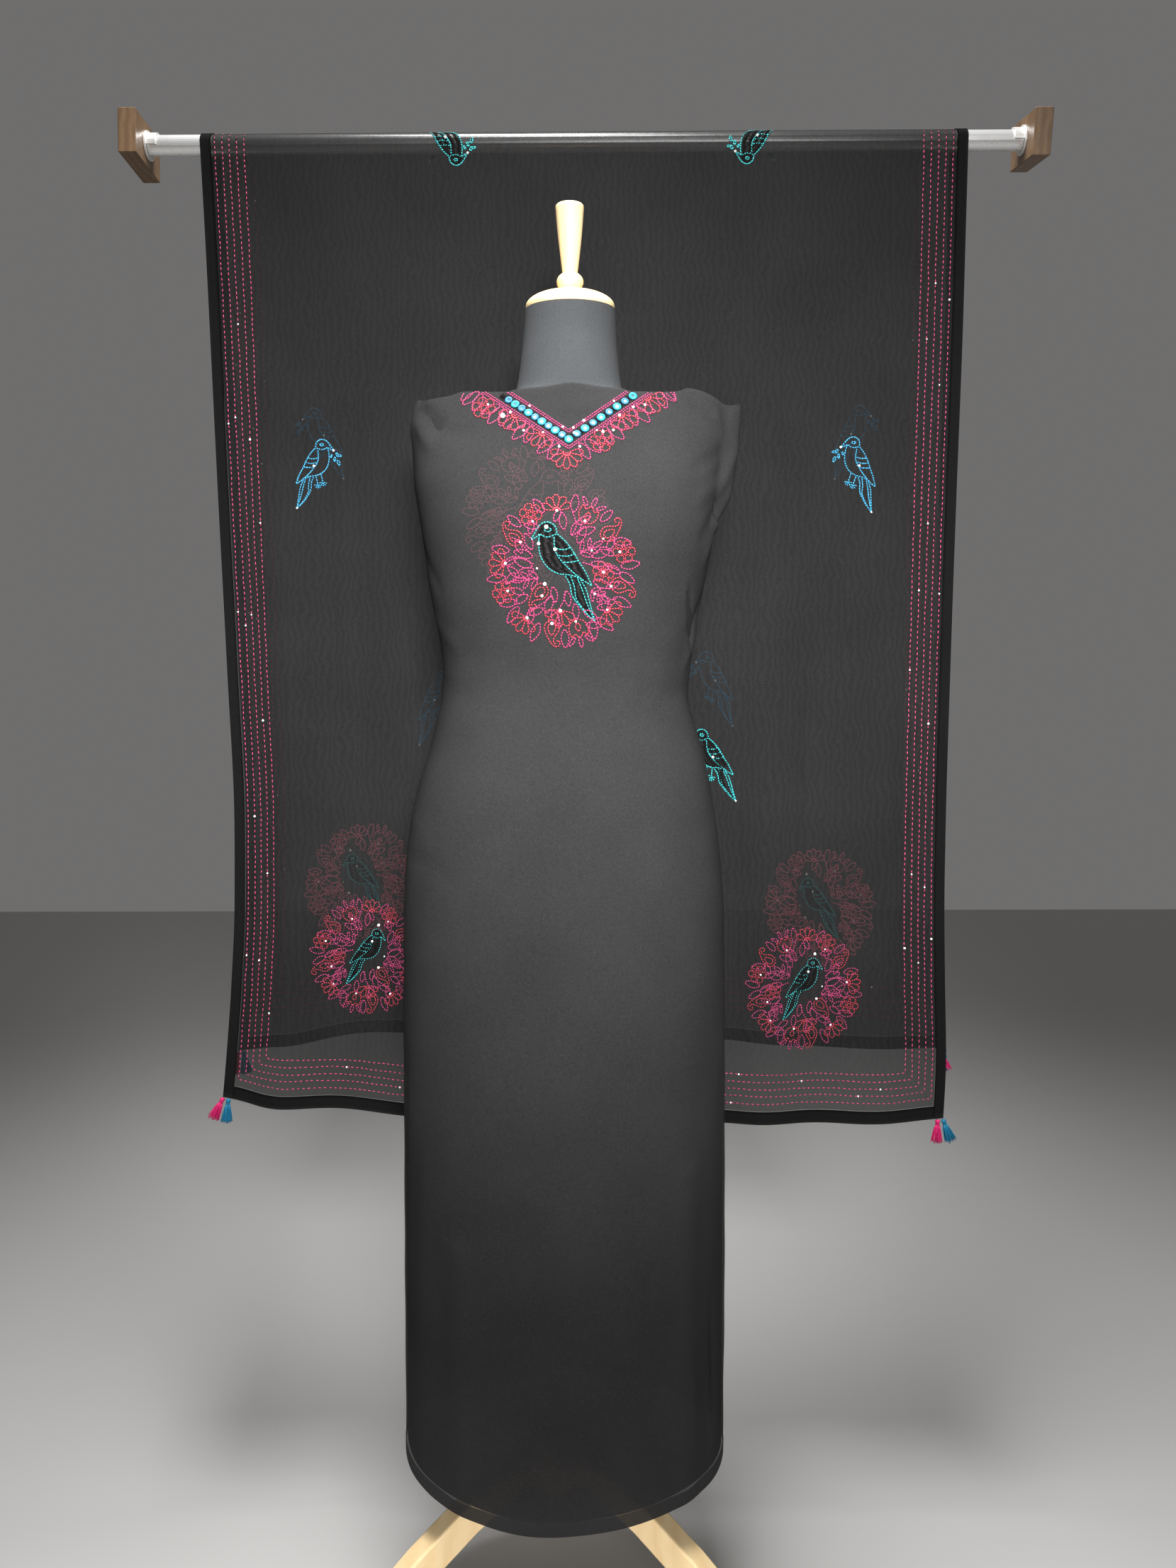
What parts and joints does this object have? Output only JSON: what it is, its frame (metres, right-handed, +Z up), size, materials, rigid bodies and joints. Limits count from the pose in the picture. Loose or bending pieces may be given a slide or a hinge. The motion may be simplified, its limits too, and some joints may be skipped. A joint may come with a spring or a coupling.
{
  "type": "salwar kameez suit on a dress form, with its dupatta on a wall-held rod",
  "caption": "Black georgette kameez length with an embroidered V neck and bird medallion on a dress form, its sheer dupatta hung over a rod behind.",
  "frame": {"origin": "on the floor under the middle of the whole set: halfway between the rod blocks' outer faces, and halfway between the front and the back of the dress form's feet", "axes": "+Z up, +X to the viewer's right, -Y towards the viewer, which is the front of the kameez"},
  "size_m": [1.165, 0.4452, 1.8092],
  "materials": {
    "jersey": "fine charcoal melange knit, matt",
    "birch": "pale wood under a thin satin lacquer",
    "georgette": "black crinkled georgette, slightly see-through, with thread embroidery",
    "sheer_georgette": "thin black georgette, see-through in one layer",
    "edging": "dense black edging",
    "pink_thread": "shiny pink embroidery thread",
    "teal_thread": "shiny teal embroidery thread",
    "steel": "plated steel tube, polished",
    "zinc": "pale zinc, satin",
    "oak": "brown wood, worn varnish"
  },
  "bodies": {
    "root": {"form_torso": "jersey", "form_neck_cap": "birch", "form_finial": "birch", "form_pole": "birch", "form_hub": "birch", "form_leg_left": "birch", "form_leg_right": "birch", "form_leg_back": "birch", "kameez_front": "georgette", "kameez_back": "georgette", "dupatta_front": "sheer_georgette", "dupatta_over_rod": "sheer_georgette", "dupatta_rear": "sheer_georgette", "dupatta_end_front": "edging", "dupatta_end_rear": "edging", "dupatta_edge_left": "edging", "dupatta_edge_right": "edging", "rod": "steel", "rod_block_left": "oak", "rod_block_right": "oak", "rod_socket_left": "zinc", "rod_socket_right": "zinc", "tassel_front_left_pink": "pink_thread", "tassel_front_left_teal": "teal_thread", "tassel_front_right_pink": "pink_thread", "tassel_front_right_teal": "teal_thread", "tassel_rear_left_pink": "pink_thread", "tassel_rear_left_teal": "teal_thread", "tassel_rear_right_pink": "pink_thread", "tassel_rear_right_teal": "teal_thread"}
  },
  "joints": []
}
